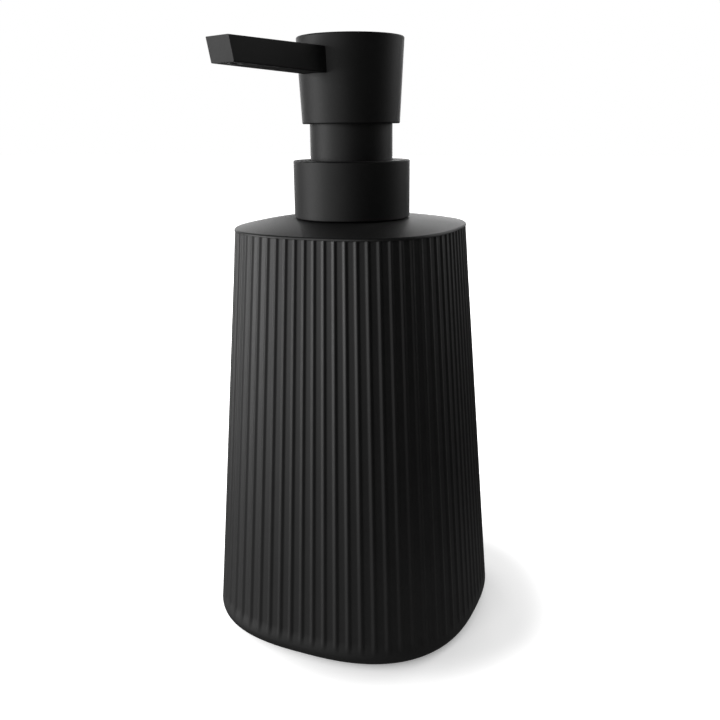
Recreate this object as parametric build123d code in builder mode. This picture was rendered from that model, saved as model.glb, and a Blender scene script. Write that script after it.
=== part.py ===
from build123d import *
from math import cos, pi, radians, sin, sqrt
import os

# Soap pump dispenser, free-standing, in millimetres. +Z is up and the origin is
# the middle of the resting face, on the pump's axis. The bottle's flat sides
# face along X and Y. At rest the spout is turned SPOUT_TURN from -Y.

os.makedirs("parts", exist_ok=True)

# ---- Driving dimensions -------------------------------------------------
# Bottle
FLUTE_COUNT = 72
FLUTE_DEPTH = 0.6
FOOT_HALF_WIDTH = 41.5        # axis to the crests of a flat side, at the foot
SHOULDER_HALF_WIDTH = 32.0    # the same where the flutes end
BODY_EXPONENT = 2.6           # superellipse exponent of the plan: 2 is a circle
FOOT_ROUNDING = 3.5           # radius of the bottom edge
FOOT_STEPS = 4                # outlines that the rounded bottom edge is lofted through
BODY_BOTTOM_Z = 0.5           # the pad stands this much proud of the body
FLUTE_START_Z = 5.0           # the foot is smooth below this
FLUTE_FULL_Z = 9.0            # the flutes have their whole depth from here
FLUTE_TOP_Z = 120.6
BAND_OVERHANG = 0.15          # smooth band over the crests
BAND_TOP_Z = 120.8
BAND_ROUNDING = 0.6           # radius of the band's upper edge
EDGE_STEPS = 3                # parts that this rounding is lofted in
SHOULDER_BULGE = 0.35         # rise of the domed shoulder over a straight slope
DOME_STEPS = 3                # parts that the shoulder is lofted in
SHOULDER_TOP_Z = 123.3        # height of the shoulder at the collar
WALL = 3.4                    # crest to cavity
FLOOR = 4.5
CAVITY_TOP_Z = 116.8
MOUTH_RADIUS = 13.4
PLATE_FLANGE_WIDTH = 31.9     # half width of the base plate at the underside
PLATE_FLANGE = 2.6
PLATE_PLUG_WIDTH = 29.5       # half width of the base plate at the cavity's floor
PAD_HALF_WIDTH = 30.0
PAD_THICKNESS = 1.7

# Neck and thread
NECK_TOP_Z = 134.8
NECK_RADIUS = 12.9
NECK_BORE_RADIUS = 10.9
NECK_BOTTOM_Z = 115.1
THREAD_PITCH = 3.0
THREAD_TURNS = 1.5
THREAD_HEIGHT = 0.8
THREAD_START_Z = 127.9

# Collar
COLLAR_RADIUS = 16.8
COLLAR_BOTTOM_Z = 123.6
COLLAR_TOP_Z = 139.7
COLLAR_WALL = 1.2
COLLAR_TOP_WALL = 1.0
COLLAR_HOLE_RADIUS = 12.15
COLLAR_EDGE = 0.3
CLOSURE_BORE_RADIUS = 14.1
CLOSURE_LEDGE = 0.7

# Gasket and pump housing
GASKET_THICKNESS = 1.0
FLANGE_RADIUS = 13.4
FLANGE_THICKNESS = 1.2
HOUSING_NECK_RADIUS = 10.3
HOUSING_NECK_BORE = 9.0
BARREL_RADIUS = 7.7
BARREL_BORE = 6.5
BARREL_TOP_Z = 117.8
BARREL_STEP = 2.5             # height of the cone between barrel and neck
BARREL_FLOOR_Z = 84.8
BALL_CHAMBER_RADIUS = 2.9
SEAT_Z = 79.2
SEAT_RADIUS = 1.6
SOCKET_TOP_Z = 78.3
SOCKET_BOTTOM_Z = 66.8
SOCKET_RADIUS = 4.3
TUBE_RADIUS = 2.9
TUBE_BORE = 2.1
TUBE_BOTTOM_Z = 9.0
CAGE_THICKNESS = 1.0

# Guide sleeve
SLEEVE_RADIUS = 11.8
SLEEVE_WALL = 1.4
SLEEVE_TOP_Z = 151.6
SLEEVE_FLANGE = 0.9
SLEEVE_PLATE_TOP_Z = 140.0
SLEEVE_SKIRT_WALL = 1.2
SLEEVE_SKIRT_BOTTOM_Z = 128.8

# Plunger
RUNNING_FIT = 0.05
STEM_RADIUS = 3.6
STEM_BORE = 2.0
STEM_BOTTOM_Z = 106.0
STEM_TOP_Z = 161.2
STEM_INLET_Z = 108.2
STEM_INLET_RADIUS = 0.9
PLUG_FLANGE_RADIUS = 5.4
PLUG_FLANGE = 1.2
PLUG_SPIGOT = 0.8
PISTON_BOTTOM_Z = 110.2
PISTON_HEIGHT = 6.0
PISTON_WAIST = 5.4
PISTON_LIP = 1.6
SPRING_RADIUS = 4.7
WIRE_RADIUS = 0.45
SPRING_TURNS = 7

# Check balls
INLET_BALL_RADIUS = 2.4
OUTLET_BALL_RADIUS = 1.5
OUTLET_SEAT_Z = 157.7
OUTLET_SEAT_RADIUS = 1.1
OUTLET_SEAT_THICKNESS = 1.0

# Head
HEAD_BOTTOM_Z = 149.7
HEAD_EDGE_Z = 172.7
HEAD_CROWN = 0.4              # rise of the domed top over its edge
HEAD_BOTTOM_RADIUS = 13.9
HEAD_TOP_RADIUS = 15.1
HEAD_WALL = 1.3
HEAD_EDGE = 0.4
CORE_BOTTOM_Z = 162.1
CORE_PLATE = 2.2
CORE_RADIUS = 13.15
CORE_BOSS_RADIUS = 5.6
CORE_SOCKET_BOTTOM_Z = 150.9
CORE_CHANNEL = 1.2
CORE_RIB_COUNT = 6
CORE_RIB = 1.4

# Spout
SPOUT_TURN = -19.5            # degrees about +Z from -Y
SPOUT_REACH = 46.5            # axis to the tip's upper edge
SPOUT_WIDTH = 8.7
SPOUT_ROOT = 11.0             # the bar starts this far from the axis
SPOUT_ROOT_Z = (162.6, 169.35)
SPOUT_TIP_Z = (164.0, 170.05)
SPOUT_UNDERCUT = 1.3          # the tip's lower edge stands back by this
SPOUT_EDGE = 0.25
OUTLET_REACH = 41.3           # axis to the outlet
OUTLET_RADIUS = 1.4
BUSH_RADIUS = 2.0
LINER_RADIUS = 2.2
LINER_BORE = 1.5
LINER_ROOT = 3.4
LINER_END = 43.4

# ---- Derived places -------------------------------------------------------
GASKET_TOP_Z = NECK_TOP_Z + GASKET_THICKNESS
FLANGE_TOP_Z = GASKET_TOP_Z + FLANGE_THICKNESS
SLEEVE_FLANGE_TOP_Z = FLANGE_TOP_Z + SLEEVE_FLANGE
COLLAR_UNDERSIDE_Z = COLLAR_TOP_Z - COLLAR_TOP_WALL
COLLAR_INNER_RADIUS = COLLAR_RADIUS - COLLAR_WALL
HEAD_CEILING_Z = HEAD_EDGE_Z - HEAD_WALL
SPRING_BOTTOM_Z = BARREL_FLOOR_Z + CAGE_THICKNESS
SPRING_TOP_Z = STEM_BOTTOM_Z - PLUG_FLANGE


def save(piece, name):
    """Labels a finished piece and writes it to its own file."""
    piece.part.label = name
    export_step(piece.part, f"parts/{name}.step")


def turned(*outline, mode=Mode.ADD):
    """Revolves a closed outline of (radius, height) points about the pump's axis."""
    with BuildSketch(Plane.XZ) as half:
        with BuildLine():
            Polyline(*outline, close=True)
        make_face()
    revolve(half.sketch, axis=Axis.Z, mode=mode)


def tube(outer, bore, bottom, top, mode=Mode.ADD):
    """A plain ring about the pump's axis."""
    turned((bore, bottom), (outer, bottom), (outer, top), (bore, top), mode=mode)


# ---- Bottle ---------------------------------------------------------------
def crest_radius(angle, half_width, exponent):
    """Distance from the axis to a superellipse, in the direction angle (radians)."""
    total = abs(cos(angle)) ** exponent + abs(sin(angle)) ** exponent
    return half_width * total ** (-1 / exponent)


def crest_half_width(height):
    """Half width of the bottle's crest outline at a height."""
    share = (height - BODY_BOTTOM_Z) / (FLUTE_TOP_Z - BODY_BOTTOM_Z)
    return FOOT_HALF_WIDTH + (SHOULDER_HALF_WIDTH - FOOT_HALF_WIDTH) * share


def polar(radius, angle):
    return (radius * cos(angle), radius * sin(angle))


def fluted_outline(height, inset=0.0, depth=0.0):
    """Concave flutes that meet in sharp crests, set in from the wall by inset."""
    half_width = crest_half_width(height)
    pitch = 2 * pi / FLUTE_COUNT
    with BuildSketch(Plane.XY.offset(height)) as outline:
        with BuildLine():
            for flute in range(FLUTE_COUNT):
                left, middle, right = [(flute + part) * pitch for part in (0, 0.5, 1)]
                crest_left = crest_radius(left, half_width, BODY_EXPONENT) - inset
                valley = crest_radius(middle, half_width, BODY_EXPONENT) - inset - depth
                crest_right = crest_radius(right, half_width, BODY_EXPONENT) - inset
                ThreePointArc(
                    polar(crest_left, left), polar(valley, middle), polar(crest_right, right)
                )
        make_face()
    return outline.sketch


def smooth_outline(height, half_width, exponent=BODY_EXPONENT):
    """A smooth superellipse, as one closed curve."""
    points = 32
    angles = [2 * pi * step / points for step in range(points)]
    corners = [polar(crest_radius(a, half_width, exponent), a) for a in angles]
    with BuildSketch(Plane.XY.offset(height)) as outline:
        with BuildLine():
            Spline(*corners, periodic=True)
        make_face()
    return outline.sketch


def cavity_outline(height):
    return smooth_outline(height, crest_half_width(height) - WALL)


def shoulder_outline(share):
    """The domed shoulder, from the band's rounded edge (0) to the collar (1)."""
    outer = SHOULDER_HALF_WIDTH + BAND_OVERHANG - BAND_ROUNDING
    edge_z = BAND_TOP_Z + BAND_ROUNDING
    bulge = SHOULDER_BULGE * 4 * share * (1 - share)
    return smooth_outline(
        edge_z + (SHOULDER_TOP_Z - edge_z) * share + bulge,
        outer + (COLLAR_RADIUS - outer) * share,
        BODY_EXPONENT + (2 - BODY_EXPONENT) * share,
    )


def stepped_plate(mode=Mode.ADD):
    """The base plate's body, which also cuts its own opening in the foot."""
    flange = smooth_outline(BODY_BOTTOM_Z, PLATE_FLANGE_WIDTH)
    plug = smooth_outline(BODY_BOTTOM_Z, PLATE_PLUG_WIDTH)
    extrude(flange, amount=PLATE_FLANGE, mode=mode)
    extrude(plug, amount=FLOOR, mode=mode)


with BuildPart() as bottle_body:
    # Smooth foot with a rounded bottom edge.
    foot_turns = [radians(90) * step / FOOT_STEPS for step in range(FOOT_STEPS + 1)]
    foot = [
        fluted_outline(
            BODY_BOTTOM_Z + FOOT_ROUNDING * (1 - cos(turn)), FOOT_ROUNDING * (1 - sin(turn))
        )
        for turn in foot_turns
    ]
    loft(foot)
    # The flutes deepen above the foot, and then run straight up to the smooth band.
    wall = [
        foot[-1],
        fluted_outline(FLUTE_START_Z),
        fluted_outline(FLUTE_FULL_Z, depth=FLUTE_DEPTH),
        fluted_outline(FLUTE_TOP_Z, depth=FLUTE_DEPTH),
    ]
    loft(wall, ruled=True)
    band_width = SHOULDER_HALF_WIDTH + BAND_OVERHANG
    extrude(smooth_outline(FLUTE_TOP_Z, band_width), amount=BAND_TOP_Z - FLUTE_TOP_Z)
    # Rounded upper edge and low domed shoulder, from the squarish band to the round collar.
    edge_turns = [radians(90) * step / EDGE_STEPS for step in range(EDGE_STEPS + 1)]
    edge = [
        smooth_outline(
            BAND_TOP_Z + BAND_ROUNDING * sin(turn), band_width - BAND_ROUNDING * (1 - cos(turn))
        )
        for turn in edge_turns
    ]
    loft(edge)
    loft([shoulder_outline(step / DOME_STEPS) for step in range(DOME_STEPS + 1)])
    # Cavity: straight wall and shoulder cone.
    cavity_top = cavity_outline(CAVITY_TOP_Z)
    roof = smooth_outline(SHOULDER_TOP_Z - WALL, MOUTH_RADIUS + 2, 2)
    loft([cavity_outline(BODY_BOTTOM_Z + FLOOR), cavity_top], ruled=True, mode=Mode.SUBTRACT)
    loft([cavity_top, roof], ruled=True, mode=Mode.SUBTRACT)
    tube(MOUTH_RADIUS, 0, CAVITY_TOP_Z, SHOULDER_TOP_Z + 1, mode=Mode.SUBTRACT)
    stepped_plate(mode=Mode.SUBTRACT)
save(bottle_body, "bottle_body")

with BuildPart() as base_plate:
    stepped_plate()
    # Recess for the pad.
    recess = smooth_outline(BODY_BOTTOM_Z, PAD_HALF_WIDTH + 0.1)
    extrude(recess, amount=PAD_THICKNESS - BODY_BOTTOM_Z, mode=Mode.SUBTRACT)
save(base_plate, "base_plate")

with BuildPart() as base_pad:
    extrude(smooth_outline(0, PAD_HALF_WIDTH), amount=PAD_THICKNESS)
save(base_pad, "base_pad")

with BuildPart() as neck_insert:
    turned(
        (NECK_BORE_RADIUS, NECK_BOTTOM_Z),
        (MOUTH_RADIUS, NECK_BOTTOM_Z),
        (MOUTH_RADIUS, SHOULDER_TOP_Z),
        (NECK_RADIUS, SHOULDER_TOP_Z),
        (NECK_RADIUS, NECK_TOP_Z),
        (NECK_BORE_RADIUS, NECK_TOP_Z),
    )
    # Thread ridge, sunk a little into the neck so that it joins it all along.
    with BuildLine() as thread_path:
        Helix(
            pitch=THREAD_PITCH,
            height=THREAD_PITCH * THREAD_TURNS,
            radius=NECK_RADIUS,
            center=(0, 0, THREAD_START_Z),
        )
    with BuildSketch(Plane(thread_path.line @ 0, x_dir=(1, 0, 0), z_dir=(0, 1, 0))):
        with BuildLine():
            Polyline(
                (-0.3, -0.9),
                (THREAD_HEIGHT, -0.35),
                (THREAD_HEIGHT, 0.35),
                (-0.3, 0.9),
                close=True,
            )
        make_face()
    sweep(path=thread_path.line, is_frenet=True)
save(neck_insert, "neck_insert")

# ---- Collar ---------------------------------------------------------------
with BuildPart() as collar_shell:
    turned(
        (COLLAR_INNER_RADIUS, COLLAR_BOTTOM_Z),
        (COLLAR_RADIUS, COLLAR_BOTTOM_Z),
        (COLLAR_RADIUS, COLLAR_TOP_Z),
        (COLLAR_HOLE_RADIUS, COLLAR_TOP_Z),
        (COLLAR_HOLE_RADIUS, COLLAR_UNDERSIDE_Z),
        (COLLAR_INNER_RADIUS, COLLAR_UNDERSIDE_Z),
    )
    rim_edges = collar_shell.edges().filter_by(GeomType.CIRCLE).group_by(Axis.Z)
    outer_edges = [group.sort_by(SortBy.RADIUS)[-1] for group in (rim_edges[0], rim_edges[-1])]
    fillet(outer_edges, radius=COLLAR_EDGE)
save(collar_shell, "collar_shell")

with BuildPart() as closure_ring:
    ledge_z = COLLAR_UNDERSIDE_Z - CLOSURE_LEDGE
    turned(
        (CLOSURE_BORE_RADIUS, COLLAR_BOTTOM_Z + 0.5),
        (COLLAR_INNER_RADIUS, COLLAR_BOTTOM_Z + 0.5),
        (COLLAR_INNER_RADIUS, COLLAR_UNDERSIDE_Z),
        (COLLAR_HOLE_RADIUS, COLLAR_UNDERSIDE_Z),
        (COLLAR_HOLE_RADIUS, ledge_z),
        (CLOSURE_BORE_RADIUS, ledge_z),
    )
save(closure_ring, "closure_ring")

# ---- Pump, fixed part -------------------------------------------------------
with BuildPart() as neck_gasket:
    tube(NECK_RADIUS, HOUSING_NECK_RADIUS + 0.2, NECK_TOP_Z, GASKET_TOP_Z)
save(neck_gasket, "neck_gasket")

with BuildPart() as pump_housing:
    step_top = BARREL_TOP_Z + BARREL_STEP
    turned(
        (TUBE_RADIUS, SOCKET_BOTTOM_Z),
        (SOCKET_RADIUS, SOCKET_BOTTOM_Z),
        (SOCKET_RADIUS, SOCKET_TOP_Z),
        (BARREL_RADIUS, SOCKET_TOP_Z + 4),
        (BARREL_RADIUS, BARREL_TOP_Z),
        (HOUSING_NECK_RADIUS, step_top),
        (HOUSING_NECK_RADIUS, GASKET_TOP_Z),
        (FLANGE_RADIUS, GASKET_TOP_Z),
        (FLANGE_RADIUS, FLANGE_TOP_Z),
        (HOUSING_NECK_BORE, FLANGE_TOP_Z),
        (HOUSING_NECK_BORE, step_top),
        (BARREL_BORE, BARREL_TOP_Z),
        (BARREL_BORE, BARREL_FLOOR_Z),
        (BALL_CHAMBER_RADIUS, BARREL_FLOOR_Z),
        (BALL_CHAMBER_RADIUS, SEAT_Z),
        (SEAT_RADIUS, SEAT_Z),
        (SEAT_RADIUS, SOCKET_TOP_Z),
        (TUBE_RADIUS, SOCKET_TOP_Z),
    )
save(pump_housing, "pump_housing")

with BuildPart() as ball_cage:
    with BuildSketch(Plane.XY.offset(BARREL_FLOOR_Z)):
        Circle(BARREL_BORE)
        with PolarLocations(2.0, 4):
            Circle(0.8, mode=Mode.SUBTRACT)
    extrude(amount=CAGE_THICKNESS)
save(ball_cage, "ball_cage")

with BuildPart() as dip_tube:
    tube(TUBE_RADIUS, TUBE_BORE, TUBE_BOTTOM_Z, SOCKET_TOP_Z)
save(dip_tube, "dip_tube")

with BuildPart() as guide_sleeve:
    skirt_bore = HOUSING_NECK_BORE - SLEEVE_SKIRT_WALL
    turned(
        (STEM_RADIUS + RUNNING_FIT, FLANGE_TOP_Z),
        (skirt_bore, FLANGE_TOP_Z),
        (skirt_bore, SLEEVE_SKIRT_BOTTOM_Z),
        (HOUSING_NECK_BORE, SLEEVE_SKIRT_BOTTOM_Z),
        (HOUSING_NECK_BORE, FLANGE_TOP_Z),
        (FLANGE_RADIUS - 0.4, FLANGE_TOP_Z),
        (FLANGE_RADIUS - 0.4, SLEEVE_FLANGE_TOP_Z),
        (SLEEVE_RADIUS, SLEEVE_FLANGE_TOP_Z),
        (SLEEVE_RADIUS, SLEEVE_TOP_Z),
        (SLEEVE_RADIUS - SLEEVE_WALL, SLEEVE_TOP_Z),
        (SLEEVE_RADIUS - SLEEVE_WALL, SLEEVE_PLATE_TOP_Z),
        (STEM_RADIUS + RUNNING_FIT, SLEEVE_PLATE_TOP_Z),
    )
save(guide_sleeve, "guide_sleeve")

with BuildPart() as return_spring:
    wire_low = SPRING_BOTTOM_Z + WIRE_RADIUS
    wire_high = SPRING_TOP_Z - WIRE_RADIUS
    with BuildLine() as coil_path:
        Helix(
            pitch=(wire_high - wire_low) / SPRING_TURNS,
            height=wire_high - wire_low,
            radius=SPRING_RADIUS,
            center=(0, 0, wire_low),
        )
    with BuildSketch(Plane(coil_path.line @ 0, z_dir=coil_path.line % 0)):
        Circle(WIRE_RADIUS)
    sweep(path=coil_path.line, is_frenet=True)
save(return_spring, "return_spring")

# ---- Check balls ------------------------------------------------------------
def seated_ball(radius, seat_z, seat_radius):
    """Centre height of a ball that rests on the edge of a round seat."""
    return seat_z + sqrt(radius**2 - seat_radius**2)


with BuildPart() as inlet_ball:
    with Locations((0, 0, seated_ball(INLET_BALL_RADIUS, SEAT_Z, SEAT_RADIUS))):
        Sphere(INLET_BALL_RADIUS)
save(inlet_ball, "inlet_ball")

with BuildPart() as outlet_ball:
    with Locations((0, 0, seated_ball(OUTLET_BALL_RADIUS, OUTLET_SEAT_Z, OUTLET_SEAT_RADIUS))):
        Sphere(OUTLET_BALL_RADIUS)
save(outlet_ball, "outlet_ball")

# ---- Plunger ----------------------------------------------------------------
with BuildPart() as piston_stem:
    turned(
        (STEM_BORE, STEM_BOTTOM_Z),
        (STEM_RADIUS, STEM_BOTTOM_Z),
        (STEM_RADIUS, STEM_TOP_Z),
        (STEM_BORE, STEM_TOP_Z),
        (STEM_BORE, OUTLET_SEAT_Z),
        (OUTLET_SEAT_RADIUS, OUTLET_SEAT_Z),
        (OUTLET_SEAT_RADIUS, OUTLET_SEAT_Z - OUTLET_SEAT_THICKNESS),
        (STEM_BORE, OUTLET_SEAT_Z - OUTLET_SEAT_THICKNESS),
    )
    # Inlet holes under the piston, on two crossed lines.
    for side in (Plane.XZ, Plane.YZ):
        with BuildSketch(side):
            with Locations((0, STEM_INLET_Z)):
                Circle(STEM_INLET_RADIUS)
        extrude(amount=STEM_RADIUS + 1, both=True, mode=Mode.SUBTRACT)
save(piston_stem, "piston_stem")

with BuildPart() as piston:
    lip_radius = BARREL_BORE - RUNNING_FIT
    piston_top = PISTON_BOTTOM_Z + PISTON_HEIGHT
    turned(
        (STEM_RADIUS, PISTON_BOTTOM_Z),
        (lip_radius, PISTON_BOTTOM_Z),
        (lip_radius, PISTON_BOTTOM_Z + PISTON_LIP),
        (PISTON_WAIST, PISTON_BOTTOM_Z + PISTON_LIP),
        (PISTON_WAIST, piston_top - PISTON_LIP),
        (lip_radius, piston_top - PISTON_LIP),
        (lip_radius, piston_top),
        (STEM_RADIUS, piston_top),
    )
save(piston, "piston")

with BuildPart() as stem_plug:
    turned(
        (0, SPRING_TOP_Z),
        (PLUG_FLANGE_RADIUS, SPRING_TOP_Z),
        (PLUG_FLANGE_RADIUS, STEM_BOTTOM_Z),
        (STEM_BORE, STEM_BOTTOM_Z),
        (STEM_BORE, STEM_BOTTOM_Z + PLUG_SPIGOT),
        (0, STEM_BOTTOM_Z + PLUG_SPIGOT),
    )
save(stem_plug, "stem_plug")

# ---- Spout --------------------------------------------------------------------
SPOUT_ANGLE = radians(SPOUT_TURN - 90)
SPOUT_DIRECTION = Vector(cos(SPOUT_ANGLE), sin(SPOUT_ANGLE), 0)
# Local x runs along the spout and local y is up.
SPOUT_SIDE = Plane(origin=(0, 0, 0), x_dir=SPOUT_DIRECTION, z_dir=SPOUT_DIRECTION.cross(Vector(0, 0, 1)))


def spout_height(reach):
    """Height of the spout's middle line at a distance from the axis."""
    root = sum(SPOUT_ROOT_Z) / 2
    tip = sum(SPOUT_TIP_Z) / 2
    share = (reach - SPOUT_ROOT) / (SPOUT_REACH - SPOUT_ROOT)
    return root + (tip - root) * share


def along_spout(reach):
    """A plane across the spout's middle line, facing the tip."""
    start = SPOUT_SIDE.from_local_coords(Vector(reach, spout_height(reach), 0))
    ahead = SPOUT_SIDE.from_local_coords(Vector(reach + 1, spout_height(reach + 1), 0))
    return Plane(origin=start, z_dir=ahead - start)


def spout_bar(mode=Mode.ADD):
    """The plain bar, which also cuts its own slot in the head."""
    with BuildSketch(SPOUT_SIDE) as side:
        with BuildLine():
            Polyline(
                (SPOUT_ROOT, SPOUT_ROOT_Z[0]),
                (SPOUT_REACH - SPOUT_UNDERCUT, SPOUT_TIP_Z[0]),
                (SPOUT_REACH, SPOUT_TIP_Z[1]),
                (SPOUT_ROOT, SPOUT_ROOT_Z[1]),
                close=True,
            )
        make_face()
    extrude(side.sketch, amount=SPOUT_WIDTH / 2, both=True, mode=mode)


with BuildPart() as spout:
    spout_bar()
    fillet(spout.edges().filter_by(lambda edge: edge.length > SPOUT_REACH / 2), radius=SPOUT_EDGE)
    with BuildSketch(along_spout(SPOUT_ROOT - 1)):
        Circle(LINER_RADIUS)
    extrude(amount=LINER_END - SPOUT_ROOT + 1, mode=Mode.SUBTRACT)
    with BuildSketch(Plane.XY.offset(SPOUT_ROOT_Z[0])):
        with Locations(SPOUT_DIRECTION * OUTLET_REACH):
            Circle(BUSH_RADIUS)
    extrude(amount=spout_height(OUTLET_REACH) - SPOUT_ROOT_Z[0], mode=Mode.SUBTRACT)
save(spout, "spout")

with BuildPart() as spout_liner:
    with BuildSketch(along_spout(LINER_ROOT)):
        Circle(LINER_RADIUS)
        Circle(LINER_BORE, mode=Mode.SUBTRACT)
    extrude(amount=LINER_END - LINER_ROOT)
    with BuildSketch(Plane.XY.offset(SPOUT_ROOT_Z[0])):
        with Locations(SPOUT_DIRECTION * OUTLET_REACH):
            Circle(OUTLET_RADIUS)
    extrude(amount=spout_height(OUTLET_REACH) - SPOUT_ROOT_Z[0], mode=Mode.SUBTRACT)
save(spout_liner, "spout_liner")

with BuildPart() as outlet_bush:
    with BuildSketch(Plane.XY.offset(SPOUT_ROOT_Z[0])):
        with Locations(SPOUT_DIRECTION * OUTLET_REACH):
            Circle(BUSH_RADIUS)
            Circle(OUTLET_RADIUS, mode=Mode.SUBTRACT)
    extrude(amount=spout_height(OUTLET_REACH) - SPOUT_ROOT_Z[0])
    # Trimmed by the liner above and by the bar's underside below.
    with BuildSketch(along_spout(LINER_ROOT)):
        Circle(LINER_RADIUS)
    extrude(amount=LINER_END - LINER_ROOT, mode=Mode.SUBTRACT)
    spout_bar(mode=Mode.INTERSECT)
save(outlet_bush, "outlet_bush")

# ---- Head -----------------------------------------------------------------------
with BuildPart() as head_shell:
    slope = (HEAD_TOP_RADIUS - HEAD_BOTTOM_RADIUS) / (HEAD_EDGE_Z - HEAD_BOTTOM_Z)
    with BuildSketch(Plane.XZ) as head_profile:
        with BuildLine():
            Polyline(
                (0, HEAD_EDGE_Z + HEAD_CROWN),
                (0, HEAD_CEILING_Z),
                (HEAD_TOP_RADIUS - HEAD_WALL * (1 + slope), HEAD_CEILING_Z),
                (HEAD_BOTTOM_RADIUS - HEAD_WALL, HEAD_BOTTOM_Z),
                (HEAD_BOTTOM_RADIUS, HEAD_BOTTOM_Z),
                (HEAD_TOP_RADIUS, HEAD_EDGE_Z),
            )
            # Domed top, level at the axis.
            TangentArc(
                (0, HEAD_EDGE_Z + HEAD_CROWN), (HEAD_TOP_RADIUS, HEAD_EDGE_Z), tangent=(1, 0)
            )
        make_face()
        outer_corners = head_profile.vertices().sort_by(Axis.X)[-2:]
        fillet(outer_corners, radius=HEAD_EDGE)
    revolve(axis=Axis.Z)
    spout_bar(mode=Mode.SUBTRACT)
save(head_shell, "head_shell")

with BuildPart() as actuator_core:
    plate_top = CORE_BOTTOM_Z + CORE_PLATE
    turned(
        (0, CORE_SOCKET_BOTTOM_Z),
        (CORE_BOSS_RADIUS, CORE_SOCKET_BOTTOM_Z),
        (CORE_BOSS_RADIUS, CORE_BOTTOM_Z),
        (CORE_RADIUS, CORE_BOTTOM_Z),
        (CORE_RADIUS, plate_top),
        (CORE_BOSS_RADIUS, plate_top),
        (CORE_BOSS_RADIUS, HEAD_CEILING_Z),
        (0, HEAD_CEILING_Z),
    )
    # Ribs on the plate, clear of the spout.
    with BuildSketch(Plane.XY.offset(plate_top)):
        with PolarLocations(0, CORE_RIB_COUNT, start_angle=SPOUT_TURN - 90 + 180 / CORE_RIB_COUNT):
            Rectangle(CORE_RADIUS - 0.2, CORE_RIB, align=(Align.MIN, Align.CENTER))
    extrude(amount=HEAD_CEILING_Z - plate_top)
    spout_bar(mode=Mode.SUBTRACT)
    # Stem socket, riser and the liner's seat.
    tube(STEM_RADIUS + RUNNING_FIT, 0, CORE_SOCKET_BOTTOM_Z, STEM_TOP_Z, mode=Mode.SUBTRACT)
    tube(CORE_CHANNEL, 0, STEM_TOP_Z, spout_height(0), mode=Mode.SUBTRACT)
    with BuildSketch(along_spout(LINER_ROOT)):
        Circle(LINER_RADIUS)
    extrude(amount=CORE_RADIUS, mode=Mode.SUBTRACT)
    with BuildSketch(along_spout(0)):
        Circle(CORE_CHANNEL)
    extrude(amount=CORE_BOSS_RADIUS, mode=Mode.SUBTRACT)
save(actuator_core, "actuator_core")
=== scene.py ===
"""Looks of the soap pump dispenser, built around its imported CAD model.

Everything is in metres in the model's own frame: +Z is up, the origin is the middle
of the resting face, and the pump's axis is the Z axis.
"""

from math import cos, pi, radians, sin, tau

import bpy
from mathutils import Euler, Matrix, Vector


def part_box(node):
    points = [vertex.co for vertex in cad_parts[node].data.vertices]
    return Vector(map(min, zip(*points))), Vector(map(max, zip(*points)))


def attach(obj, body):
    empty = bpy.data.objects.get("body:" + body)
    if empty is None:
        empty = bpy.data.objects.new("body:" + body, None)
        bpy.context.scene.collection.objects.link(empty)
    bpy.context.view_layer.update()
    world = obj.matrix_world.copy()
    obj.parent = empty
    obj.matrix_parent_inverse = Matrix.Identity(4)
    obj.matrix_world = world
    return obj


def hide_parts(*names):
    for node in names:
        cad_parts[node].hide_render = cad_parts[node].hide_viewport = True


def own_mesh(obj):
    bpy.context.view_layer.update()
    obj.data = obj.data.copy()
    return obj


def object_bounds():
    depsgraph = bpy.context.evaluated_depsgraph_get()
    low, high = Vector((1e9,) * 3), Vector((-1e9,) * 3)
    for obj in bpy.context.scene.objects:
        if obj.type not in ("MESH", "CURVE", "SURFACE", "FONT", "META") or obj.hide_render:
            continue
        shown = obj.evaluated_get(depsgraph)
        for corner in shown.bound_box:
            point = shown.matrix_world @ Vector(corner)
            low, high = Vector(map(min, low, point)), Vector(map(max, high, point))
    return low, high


MM = 0.001

# ---- Camera -----------------------------------------------------------------
CAMERA_AZIMUTH = radians(23.5)   # about +Z from -Y
CAMERA_DISTANCE = 0.2405         # level distance from the pump's axis
CAMERA_HEIGHT = 0.1485
CAMERA_PITCH = radians(16.0)     # downwards
CAMERA_PAN = radians(0.44)       # to the right of the axis
CAMERA_ROLL = radians(-0.57)
LENS_MM = 40.45
SENSOR_MM = 36.0

# ---- Bottle -----------------------------------------------------------------
FLUTE_COUNT = 72
FLUTE_DEPTH = 0.4 * MM
FLUTE_START = 3.6 * MM           # from the body's underside up to the end of the smooth foot
FLUTE_FULL = 8.0 * MM            # and up to where the flutes have their whole depth
CREST_SHARE = 0.3                # of a flute's width, from a crest's top to the level floor
# Shares of a flute's width at which it is sampled, up to its middle.
FLUTE_PHASES = (0, 0.035, 0.075, 0.115, 0.15, 0.185, 0.225, 0.265, 0.3, 0.4, 0.5)
FOOT_HALF_WIDTH = 41.5 * MM      # axis to the crests of a flat side, drawn on to the underside
SHOULDER_HALF_WIDTH = 32.0 * MM  # the same where the flutes end
BODY_EXPONENT = 2.6              # superellipse exponent of the body's plan
CIRCLE_EXPONENT = 2              # and of the round mouth's
FOOT_ROUNDING = 3.5 * MM
SHOULDER_RISE = 1.9 * MM         # from the band's upper edge to the collar
SHOULDER_BULGE = 0.35 * MM       # rise of the dome over a straight slope
BAND_HEIGHT = 0.2 * MM
BAND_OVERHANG = 0.15 * MM        # over the crests below it
BAND_HALF_WIDTH = SHOULDER_HALF_WIDTH + BAND_OVERHANG
BAND_ROUNDING = 0.6 * MM
WALL = 3.4 * MM                  # crests to the cavity
ROOF_DROP = 3.1 * MM             # the cavity's roof falls by this to the wall
ROOF_LAND = 2.0 * MM             # level part of the roof, round the mouth
MOUTH_RADIUS = 13.4 * MM
PLATE_PLUG_WIDTH = 29.5 * MM     # half width of the base plate's plug, and of its opening
PLATE_FLANGE = 2.6 * MM          # thickness of the base plate's flange

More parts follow.
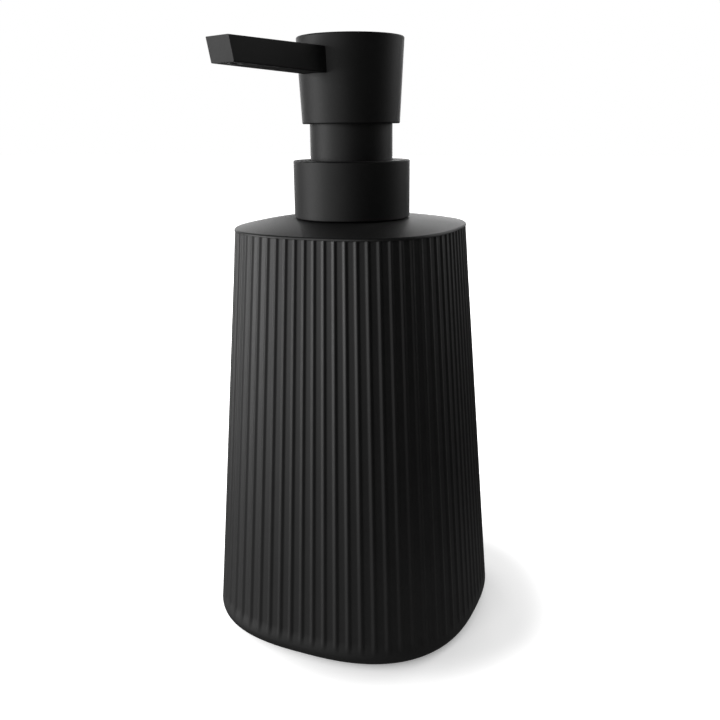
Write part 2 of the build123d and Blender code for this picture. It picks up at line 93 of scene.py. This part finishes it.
# Rings of the bottle's skin in each stretch.
FOOT_STEPS = 12
RUNOUT_STEPS = 8                 # where the flutes deepen above the foot
WALL_STEPS = 10
ROUNDING_STEPS = 6
DOME_STEPS = 10
SHARP_ANGLE = radians(32)        # edges that turn by more stay hard

# ---- Return spring ----------------------------------------------------------
SPRING_WIRE = 0.9 * MM
SPRING_TURNS = 7
SPRING_POINTS = 36               # for each turn

# ---- Materials --------------------------------------------------------------
NOISE_RANGE = (0.3, 0.7)         # of a noise's values, over which it drives a shader

# ---- Stage ------------------------------------------------------------------
FILL_LEVEL = 0.5                 # light from all round
ROOM_LEVEL = 0.002               # what reflections see of the room, away from the backdrop
BACKDROP_LEVEL = 0.07            # and of the backdrop behind the object
BACKDROP_EDGE = (radians(30), radians(10))  # from its middle to where it ends, and is full
FLOOR_SIDE = 8.0
FLOOR_TONE = 0.9
FLOOR_SHEEN = 0.2                # tone that reflections see near the object
FLOOR_DIM = 0.04                 # and further out
SHEEN_REACH = (0.067, 0.134)     # from where to where the first changes to the second
FLOOR_GLOW = 0.24                # that the camera sees near the object, rising to 1; this lets the shadow show, and paints some shade round the object
GLOW_REACH = (0.04, 0.067)       # from where to where it rises
MIRROR_REACH = (2.0, 4.0)        # the same for the glow that reflections see, from 0 to 1
FLOOR_MIDDLE = (0.014, 0.004, 0)  # what these reaches are measured from, set off towards the shadow's side, where the painted shade lies

# ---- Lamps ------------------------------------------------------------------
LAMP_DISTANCE = 0.7              # from the object's middle
# Degrees from the camera round to the left, degrees up, width and height, and watts.
LAMPS = {
    "front_left": (35, 20, (0.3, 0.5), 1.15),
    "key": (83, 4, (0.4, 0.36), 3.8),
    "left_back": (155, 15, (0.4, 0.4), 1.7),
    "right_back": (-165, 12, (0.3, 0.3), 1.3),
    "right": (-125, 25, (0.3, 0.5), 1.0),
    "right_side": (-98, 14, (0.2, 0.3), 0.2),
}


def new_object(name, data):
    """An object in the scene that shows a mesh, a lamp or a camera."""
    holder = bpy.data.objects.new(name, data)
    bpy.context.scene.collection.objects.link(holder)
    return holder


def ring_skin(name, rings):
    """A closed skin through rings with equally many points. The last joins the first.

    Rings follow each other so that the outside is on the right of their path seen
    in a half section with the axis on the left.
    """
    points = [point for ring in rings for point in ring]
    count = len(rings[0])
    faces = []
    for low in range(len(rings)):
        high = (low + 1) % len(rings)
        for step in range(count):
            ahead = (step + 1) % count
            corners = ((low, step), (low, ahead), (high, ahead), (high, step))
            faces.append([ring * count + at for ring, at in corners])
    mesh = bpy.data.meshes.new(name)
    mesh.from_pydata(points, [], faces)
    mesh.validate()
    mesh.shade_smooth()
    mesh.set_sharp_from_angle(angle=SHARP_ANGLE)
    return new_object(name, mesh)


# ---- Materials --------------------------------------------------------------
class NodeTree:
    """The nodes of a material or world."""

    def __init__(self, owner):
        owner.use_nodes = True
        self.nodes = owner.node_tree.nodes
        self.links = owner.node_tree.links

    def add(self, kind, **settings):
        """A new node with some of its settings."""
        node = self.nodes.new("ShaderNode" + kind)
        for key, value in settings.items():
            setattr(node, key, value)
        return node


class Shader(NodeTree):
    """A Principled material and short ways to add detail to it."""

    def __init__(self, name, **sockets):
        self.material = bpy.data.materials.new(name)
        super().__init__(self.material)
        self.shader = self.nodes["Principled BSDF"]
        for socket, value in sockets.items():
            self.shader.inputs[socket.replace("_", " ")].default_value = value
        self.place = self.add("TexCoord").outputs["Object"]

    def noise(self, size, detail=3, squeeze=None):
        """A noise with features of about size metres.

        A squeeze above 1 makes them shorter along that axis, and one below 1 longer.
        """
        node = self.add("TexNoise")
        node.inputs["Scale"].default_value = 1 / size
        node.inputs["Detail"].default_value = detail
        place = self.place
        if squeeze:
            mapping = self.add("Mapping")
            mapping.inputs["Scale"].default_value = squeeze
            self.links.new(place, mapping.inputs["Vector"])
            place = mapping.outputs["Vector"]
        self.links.new(place, node.inputs["Vector"])
        return node.outputs["Fac"]

    def roughness(self, source, low, high):
        """Roughness between two values, driven by a noise."""
        node = self.add("MapRange")
        node.inputs["From Min"].default_value = NOISE_RANGE[0]
        node.inputs["From Max"].default_value = NOISE_RANGE[1]
        node.inputs["To Min"].default_value = low
        node.inputs["To Max"].default_value = high
        self.links.new(source, node.inputs["Value"])
        self.links.new(node.outputs["Result"], self.shader.inputs["Roughness"])

    def colours(self, source, low, high):
        """Base colour between two colours, driven by a noise."""
        node = self.add("ValToRGB")
        for element, share, colour in zip(node.color_ramp.elements, NOISE_RANGE, (low, high)):
            element.position = share
            element.color = (*colour, 1)
        self.links.new(source, node.inputs["Fac"])
        self.links.new(node.outputs["Color"], self.shader.inputs["Base Color"])

    def bumps(self, *layers):
        """Stacked bumps of (noise, height in metres)."""
        normal = None
        for source, height in layers:
            bump = self.add("Bump")
            bump.inputs["Distance"].default_value = height
            self.links.new(source, bump.inputs["Height"])
            if normal:
                self.links.new(normal, bump.inputs["Normal"])
            normal = bump.outputs["Normal"]
        self.links.new(normal, self.shader.inputs["Normal"])


def matte_black(name, grain, smoothest, roughest, shine):
    """Matte black plastic with a fine spark-eroded grain."""
    shader = Shader(name, Specular_IOR_Level=shine)
    cloud = shader.noise(9 * MM)
    fine = shader.noise(grain, detail=2)
    shader.colours(cloud, (0.002, 0.002, 0.002), (0.003, 0.003, 0.003))
    shader.roughness(fine, smoothest, roughest)
    shader.bumps((fine, 0.012 * MM), (cloud, 0.02 * MM))
    return shader.material


def milky_plastic():
    """Unpigmented polypropylene: white, a little waxy, with faint flow marks."""
    shader = Shader("natural_plastic", Specular_IOR_Level=0.45, Subsurface_Weight=0.25)
    shader.shader.inputs["Subsurface Radius"].default_value = (0.0015, 0.0014, 0.0012)
    flow = shader.noise(6 * MM, squeeze=(1, 1, 0.3))
    fine = shader.noise(0.5 * MM)
    shader.colours(flow, (0.60, 0.61, 0.60), (0.69, 0.70, 0.68))
    shader.roughness(fine, 0.32, 0.44)
    shader.bumps((fine, 0.01 * MM))
    return shader.material


def black_plastic():
    """Plain black polypropylene of the hidden pieces, with moulding flow marks."""
    shader = Shader("inner_black_plastic", Specular_IOR_Level=0.45)
    flow = shader.noise(5 * MM, squeeze=(1, 1, 0.4))
    fine = shader.noise(0.4 * MM)
    shader.colours(flow, (0.010, 0.010, 0.011), (0.016, 0.016, 0.017))
    shader.roughness(fine, 0.36, 0.48)
    shader.bumps((fine, 0.01 * MM))
    return shader.material


def rubber(name, low, high):
    """Soft elastomer with a dusty, slightly uneven surface."""
    shader = Shader(name, Specular_IOR_Level=0.3)
    dust = shader.noise(2 * MM, detail=6)
    fine = shader.noise(0.3 * MM)
    shader.colours(dust, low, high)
    shader.roughness(fine, 0.72, 0.86)
    shader.bumps((fine, 0.02 * MM))
    return shader.material


def spring_steel():
    """Drawn stainless wire, with fine drawing lines."""
    shader = Shader("drawn_steel", Metallic=1.0)
    lines = shader.noise(0.35 * MM, squeeze=(1, 1, 6))
    shader.colours(lines, (0.50, 0.50, 0.51), (0.64, 0.64, 0.65))
    shader.roughness(lines, 0.22, 0.36)
    shader.bumps((lines, 0.004 * MM))
    return shader.material


# ---- Bottle body ------------------------------------------------------------
def crest_radius(angle, half_width, exponent):
    """Distance from the axis to a superellipse, in the direction angle."""
    total = abs(cos(angle)) ** exponent + abs(sin(angle)) ** exponent
    return half_width * total ** (-1 / exponent)


def flute_profile(phase):
    """How far a flute lies below its crests, from 0 at a crest to 1 at its middle."""
    return (1 - cos(pi * min(phase / CREST_SHARE, 1))) / 2


def flute_samples():
    """(angle, depth share) round the bottle, closer together at the crests."""
    mirrored = [1 - phase for phase in reversed(FLUTE_PHASES[1:-1])]
    pitch = tau / FLUTE_COUNT
    return [
        ((flute + phase) * pitch, flute_profile(min(phase, 1 - phase)))
        for flute in range(FLUTE_COUNT)
        for phase in (*FLUTE_PHASES, *mirrored)
    ]


class BottleRings:
    """The rings of the bottle's skin. Each method adds those of one stretch."""

    def __init__(self):
        low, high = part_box("bottle_body")
        self.plate_low, self.plate_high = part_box("base_plate")
        self.low = low.z
        self.top = high.z
        self.edge_top = self.top - SHOULDER_RISE
        self.band_top = self.edge_top - BAND_ROUNDING
        self.flute_top = self.band_top - BAND_HEIGHT
        self.samples = flute_samples()
        self.rings = []

    def crest(self, height):
        """Half width of the crest outline at a height."""
        share = (height - self.low) / (self.flute_top - self.low)
        return FOOT_HALF_WIDTH + (SHOULDER_HALF_WIDTH - FOOT_HALF_WIDTH) * share

    def ring(self, height, half_width, exponent=BODY_EXPONENT, inset=0.0, depth=0.0):
        """Adds a superellipse, set in, with flutes of a depth."""
        points = []
        for angle, share in self.samples:
            radius = crest_radius(angle, half_width, exponent) - inset - depth * share
            points.append((radius * cos(angle), radius * sin(angle), height))
        self.rings.append(points)

    def foot(self):
        """Underside, out from the base plate's opening, and its rounded edge."""
        self.ring(self.low, self.plate_high.x)
        for step in range(FOOT_STEPS + 1):
            turn = radians(90) * step / FOOT_STEPS
            height = self.low + FOOT_ROUNDING * (1 - cos(turn))
            self.ring(height, self.crest(height), inset=FOOT_ROUNDING * (1 - sin(turn)))

    def wall(self):
        """Flutes that deepen above the smooth foot, and then run straight up to the band."""
        for step in range(RUNOUT_STEPS + 1):
            share = step / RUNOUT_STEPS
            height = self.low + FLUTE_START + (FLUTE_FULL - FLUTE_START) * share
            depth = FLUTE_DEPTH * share**2 * (3 - 2 * share)
            self.ring(height, self.crest(height), depth=depth)
        wall_low = self.low + FLUTE_FULL
        for step in range(1, WALL_STEPS + 1):
            height = wall_low + (self.flute_top - wall_low) * step / WALL_STEPS
            self.ring(height, self.crest(height), depth=FLUTE_DEPTH)

    def band(self):
        """Smooth band, standing a little over the crests, and its rounded upper edge."""
        lip = BAND_OVERHANG / 2
        self.ring(self.flute_top, BAND_HALF_WIDTH - lip)
        self.ring(self.flute_top + lip, BAND_HALF_WIDTH)
        for step in range(ROUNDING_STEPS + 1):
            turn = radians(90) * step / ROUNDING_STEPS
            height = self.band_top + BAND_ROUNDING * sin(turn)
            self.ring(height, BAND_HALF_WIDTH - BAND_ROUNDING * (1 - cos(turn)))

    def shoulder(self):
        """A shallow dome from the band's outline to the round collar, and the mouth."""
        edge = BAND_HALF_WIDTH - BAND_ROUNDING
        collar_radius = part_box("collar_shell")[1].x
        for step in range(1, DOME_STEPS + 1):
            share = step / DOME_STEPS
            bulge = SHOULDER_BULGE * 4 * share * (1 - share)
            height = self.edge_top + SHOULDER_RISE * share + bulge
            width = edge + (collar_radius - edge) * share
            self.ring(height, width, BODY_EXPONENT + (CIRCLE_EXPONENT - BODY_EXPONENT) * share)
        self.ring(self.top, MOUTH_RADIUS, CIRCLE_EXPONENT)

    def inside(self):
        """Neck seat, roof, straight wall, ledge and the base plate's opening."""
        roof_edge = self.top - WALL
        cavity_top = roof_edge - ROOF_DROP
        ledge = self.plate_high.z
        flange_top = self.plate_low.z + PLATE_FLANGE
        self.ring(roof_edge, MOUTH_RADIUS, CIRCLE_EXPONENT)
        self.ring(roof_edge, MOUTH_RADIUS + ROOF_LAND, CIRCLE_EXPONENT)
        self.ring(cavity_top, self.crest(cavity_top) - WALL)
        self.ring(ledge, self.crest(ledge) - WALL)
        self.ring(ledge, PLATE_PLUG_WIDTH)
        self.ring(flange_top, PLATE_PLUG_WIDTH)
        self.ring(flange_top, self.plate_high.x)


def bottle_skin(material):
    """Fluted body: foot, wall, band, shoulder and cavity in one skin."""
    outline = BottleRings()
    outline.foot()
    outline.wall()
    outline.band()
    outline.shoulder()
    outline.inside()
    piece = ring_skin("fluted_bottle", outline.rings)
    piece.data.materials.append(material)
    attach(piece, "bottle")
    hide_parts("bottle_body")


# ---- Return spring ----------------------------------------------------------
def coil_spring(material):
    """Compression spring of even pitch. The real one shortens as the head goes down; this coil
    keeps its length.
    """
    low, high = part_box("return_spring")
    wire = SPRING_WIRE / 2
    mean = high.x - wire
    span = high.z - low.z - 2 * wire
    curve = bpy.data.curves.new("coil", "CURVE")
    curve.dimensions = "3D"
    curve.bevel_depth = wire
    curve.bevel_resolution = 3
    curve.use_fill_caps = True
    spline = curve.splines.new("POLY")
    count = SPRING_TURNS * SPRING_POINTS
    spline.points.add(count)
    for index in range(count + 1):
        share = index / count
        angle = tau * SPRING_TURNS * share
        height = low.z + wire + span * share
        spline.points[index].co = (mean * cos(angle), mean * sin(angle), height, 1)
    source = bpy.data.objects.new("coil", curve)
    mesh = bpy.data.meshes.new_from_object(source)
    bpy.data.objects.remove(source)
    mesh.shade_smooth()
    piece = new_object("coil_spring", mesh)
    piece.data.materials.append(material)
    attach(piece, "pump")
    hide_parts("return_spring")
    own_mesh(piece)


# ---- Stage ------------------------------------------------------------------
class StageTree(NodeTree):
    """Nodes of the world or the floor, and short ways to add maths to them."""

    def __init__(self, owner):
        super().__init__(owner)
        self.rays = self.add("LightPath").outputs

    def feed(self, node, *sources):
        """Links outputs, or sets numbers and vectors, on a node's first sockets."""
        for socket, source in zip(node.inputs, sources):
            if isinstance(source, bpy.types.NodeSocket):
                self.links.new(source, socket)
            else:
                socket.default_value = source
        return node.outputs

    def math(self, operation, *sources):
        return self.feed(self.add("Math", operation=operation), *sources)[0]

    def vector_math(self, operation, *sources):
        return self.feed(self.add("VectorMath", operation=operation), *sources)

    def smooth_range(self, source, start, end, low, high):
        """From low at start to high at end, with a soft beginning and end."""
        node = self.add("MapRange", interpolation_type="SMOOTHSTEP")
        return self.feed(node, source, start, end, low, high)[0]

    def mirror(self):
        """1 for the rays that show a background in metal or glass."""
        return self.math("MAXIMUM", self.rays["Is Glossy Ray"], self.rays["Is Transmission Ray"])

    def shown(self):
        """1 for all rays that show a background."""
        return self.math("MAXIMUM", self.rays["Is Camera Ray"], self.mirror())


def white_world():
    """White to the camera, and an even fill light on every surface.

    Reflections see a dim backdrop behind the object, and a darker room round it.
    """
    world = bpy.data.worlds.new("studio")
    bpy.context.scene.world = world
    world.cycles.sampling_method = "NONE"
    net = StageTree(world)
    behind = (-sin(CAMERA_AZIMUTH), cos(CAMERA_AZIMUTH), 0)
    place = net.add("TexCoord").outputs["Generated"]
    facing = net.vector_math("DOT_PRODUCT", place, behind)["Value"]
    ends, full = [cos(angle) for angle in BACKDROP_EDGE]
    mirrored = net.smooth_range(facing, ends, full, ROOM_LEVEL, BACKDROP_LEVEL)
    shown = net.math("MAXIMUM", net.rays["Is Camera Ray"], mirrored)
    fill = net.math("MULTIPLY", net.math("SUBTRACT", 1, net.shown()), FILL_LEVEL)
    level = net.math("MULTIPLY_ADD", net.shown(), shown, fill)
    background = net.nodes["Background"]
    background.inputs["Color"].default_value = (1, 1, 1, 1)
    net.links.new(level, background.inputs["Strength"])


def white_floor():
    """A plain white sheet, which keeps the object's shadow.

    To the camera it also glows, least near the object, which paints some shade round it on its
    shadow's side.
    Reflections see it darker than it is, and with a glow only far from the object.
    """
    material = bpy.data.materials.new("white_floor")
    net = StageTree(material)
    material.cycles.emission_sampling = "NONE"
    net.nodes.remove(net.nodes["Principled BSDF"])
    place = net.add("TexCoord").outputs["Object"]
    aside = net.vector_math("SUBTRACT", place, FLOOR_MIDDLE)["Vector"]
    reach = net.vector_math("LENGTH", aside)["Value"]
    # Reflections see FLOOR_TONE plus this change.
    near, far = FLOOR_SHEEN - FLOOR_TONE, FLOOR_DIM - FLOOR_TONE
    change = net.smooth_range(reach, *SHEEN_REACH, near, far)
    tone = net.math("MULTIPLY_ADD", net.mirror(), change, FLOOR_TONE)
    # Less glow near the object: painted shade round it, on its shadow's side.
    seen = net.smooth_range(reach, *GLOW_REACH, FLOOR_GLOW, 1)
    seen = net.math("MULTIPLY", seen, net.rays["Is Camera Ray"])
    mirrored = net.smooth_range(reach, *MIRROR_REACH, 0, 1)
    level = net.math("MULTIPLY_ADD", mirrored, net.mirror(), seen)
    sheet = net.add("BsdfDiffuse")
    net.links.new(tone, sheet.inputs["Color"])
    glow = net.add("Emission")
    net.links.new(level, glow.inputs["Strength"])
    both = net.feed(net.add("AddShader"), sheet.outputs[0], glow.outputs[0])
    net.links.new(both[0], net.nodes["Material Output"].inputs["Surface"])

    mesh = bpy.data.meshes.new("floor")
    side = FLOOR_SIDE / 2
    corners = [(-side, -side, 0), (side, -side, 0), (side, side, 0), (-side, side, 0)]
    mesh.from_pydata(corners, [], [(0, 1, 2, 3)])
    mesh.materials.append(material)
    new_object("floor", mesh)


def softbox(name, left, up, size, power):
    """A rectangular lamp aimed at the object's middle, by its row of LAMPS."""
    lamp = bpy.data.lights.new(name, "AREA")
    lamp.shape = "RECTANGLE"
    lamp.size, lamp.size_y = size
    lamp.energy = power
    low, high = cad_box
    middle = Vector((0, 0, (low.z + high.z) / 2))
    around = CAMERA_AZIMUTH - radians(left)
    rise = radians(up)
    away = Vector((sin(around) * cos(rise), -cos(around) * cos(rise), sin(rise)))
    holder = new_object(name, lamp)
    holder.location = middle + away * LAMP_DISTANCE
    holder.rotation_euler = away.to_track_quat("Z", "Y").to_euler()


def camera():
    lens = bpy.data.cameras.new("camera")
    lens.lens = LENS_MM
    lens.sensor_width = SENSOR_MM
    holder = new_object("camera", lens)
    holder.location = (
        CAMERA_DISTANCE * sin(CAMERA_AZIMUTH),
        -CAMERA_DISTANCE * cos(CAMERA_AZIMUTH),
        CAMERA_HEIGHT,
    )
    aim = Euler((pi / 2 - CAMERA_PITCH, 0, CAMERA_AZIMUTH - CAMERA_PAN)).to_matrix()
    holder.rotation_euler = (aim @ Matrix.Rotation(CAMERA_ROLL, 3, "Z")).to_euler()
    bpy.context.scene.camera = holder


def dress(material, *nodes):
    """Gives a material to CAD nodes that stay."""
    for node in nodes:
        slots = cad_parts[node].data.materials
        slots.clear()
        slots.append(material)


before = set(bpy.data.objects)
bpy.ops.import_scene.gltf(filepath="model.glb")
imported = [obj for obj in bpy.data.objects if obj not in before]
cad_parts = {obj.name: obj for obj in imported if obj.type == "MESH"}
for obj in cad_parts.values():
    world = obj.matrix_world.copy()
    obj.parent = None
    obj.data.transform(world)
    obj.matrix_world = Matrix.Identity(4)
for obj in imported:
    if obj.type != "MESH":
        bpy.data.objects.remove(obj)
cad_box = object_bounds()

camera()
white_world()
white_floor()
for name, lamp in LAMPS.items():
    softbox(name, *lamp)

body_black = matte_black("matte_body", 0.25 * MM, 0.52, 0.61, shine=0.7)
pump_black = matte_black("matte_pump", 0.2 * MM, 0.54, 0.63, shine=0.42)
inner_black = black_plastic()
natural = milky_plastic()
steel = spring_steel()

bottle_skin(body_black)
coil_spring(steel)
dress(body_black, "base_plate")
dress(pump_black, "collar_shell", "guide_sleeve", "head_shell", "spout")
dress(inner_black, "neck_insert", "closure_ring", "actuator_core", "spout_liner", "outlet_bush")
dress(natural, "pump_housing", "ball_cage", "dip_tube", "piston_stem", "stem_plug")
dress(rubber("gasket_rubber", (0.55, 0.55, 0.53), (0.62, 0.62, 0.6)), "neck_gasket", "piston")
dress(rubber("pad_rubber", (0.012, 0.012, 0.012), (0.022, 0.022, 0.022)), "base_pad")
dress(steel, "inlet_ball", "outlet_ball")

bpy.context.scene.view_settings.view_transform = "Standard"
